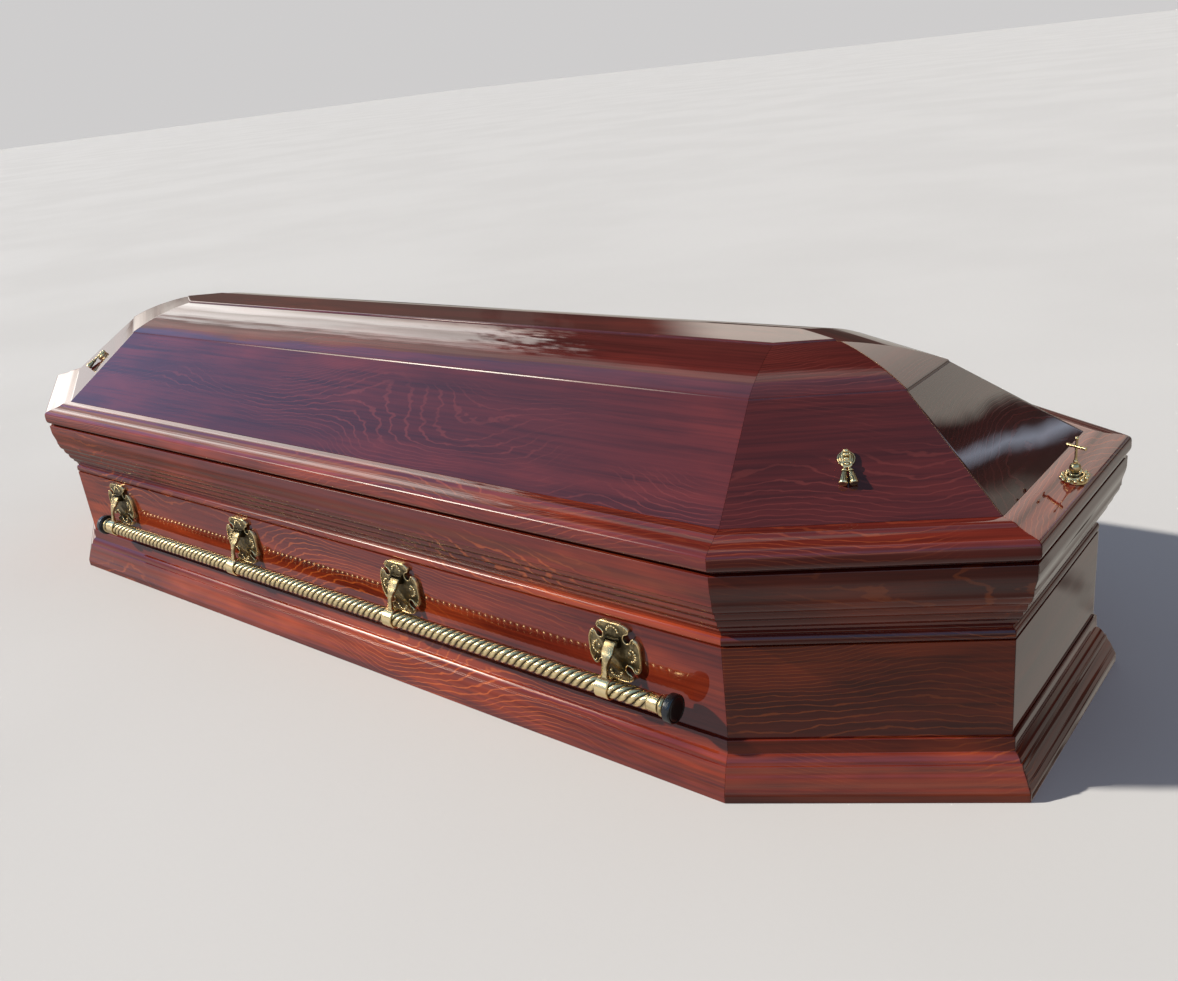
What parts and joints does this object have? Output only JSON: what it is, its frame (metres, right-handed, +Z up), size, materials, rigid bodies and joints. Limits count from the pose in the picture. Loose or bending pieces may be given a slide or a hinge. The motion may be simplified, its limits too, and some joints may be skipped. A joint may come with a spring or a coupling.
{
  "type": "wooden coffin",
  "caption": "Long eight-sided lacquered wooden coffin with a moulded case, a raised panelled lid and a swinging carrying bar along each long side.",
  "frame": {"origin": "on the floor under the middle of the coffin", "axes": "+X towards the head end, +Y across the coffin, +Z up"},
  "size_m": [2, 0.6962, 0.4515],
  "materials": {
    "case_wood": "high-gloss lacquer over mahogany-stained wood",
    "lid_wood": "high-gloss lacquer over mahogany-stained wood",
    "plain_wood": "bare planed board",
    "old_brass": "antiqued brass, dark in the hollows and bright on the ridges",
    "black_cap": "glossy black end caps"
  },
  "bodies": {
    "coffin": {"base_moulding": "case_wood", "bottom_board": "plain_wood", "crucifix_screw_foot": "old_brass", "crucifix_screw_head": "old_brass", "far_bracket_1": "old_brass", "far_bracket_2": "old_brass", "far_bracket_3": "old_brass", "far_bracket_4": "old_brass", "lid_frame": "lid_wood", "lid_panel_far": "lid_wood", "lid_panel_far_foot": "lid_wood", "lid_panel_far_head": "lid_wood", "lid_panel_foot": "lid_wood", "lid_panel_head": "lid_wood", "lid_panel_near": "lid_wood", "lid_panel_near_foot": "lid_wood", "lid_panel_near_head": "lid_wood", "lid_top_board": "lid_wood", "near_bracket_1": "old_brass", "near_bracket_2": "old_brass", "near_bracket_3": "old_brass", "near_bracket_4": "old_brass", "rim_moulding_far": "case_wood", "rim_moulding_far_foot": "case_wood", "rim_moulding_far_head": "case_wood", "rim_moulding_foot": "case_wood", "rim_moulding_head": "case_wood", "rim_moulding_near": "case_wood", "rim_moulding_near_foot": "case_wood", "rim_moulding_near_head": "case_wood", "tassel_screw_far_foot": "old_brass", "tassel_screw_far_head": "old_brass", "tassel_screw_near_foot": "old_brass", "tassel_screw_near_head": "old_brass", "wall_board_far": "case_wood", "wall_board_far_foot": "case_wood", "wall_board_far_head": "case_wood", "wall_board_foot": "case_wood", "wall_board_head": "case_wood", "wall_board_near": "case_wood", "wall_board_near_foot": "case_wood", "wall_board_near_head": "case_wood"},
    "near_handle": {"near_arm_1": "old_brass", "near_arm_2": "old_brass", "near_arm_3": "old_brass", "near_arm_4": "old_brass", "near_bar": "old_brass", "near_bar_cap_foot": "black_cap", "near_bar_cap_head": "black_cap"},
    "far_handle": {"far_arm_1": "old_brass", "far_arm_2": "old_brass", "far_arm_3": "old_brass", "far_arm_4": "old_brass", "far_bar": "old_brass", "far_bar_cap_foot": "black_cap", "far_bar_cap_head": "black_cap"}
  },
  "joints": [
    {"name": "near_handle_swing", "type": "hinge", "parent": "coffin", "child": "near_handle", "pos_m": [0, -0.3135, 0.157], "axis": [-1, 0, 0], "range_deg": [0, 55]},
    {"name": "far_handle_swing", "type": "hinge", "parent": "coffin", "child": "far_handle", "pos_m": [0, 0.3135, 0.157], "axis": [1, 0, 0], "range_deg": [0, 55]}
  ]
}
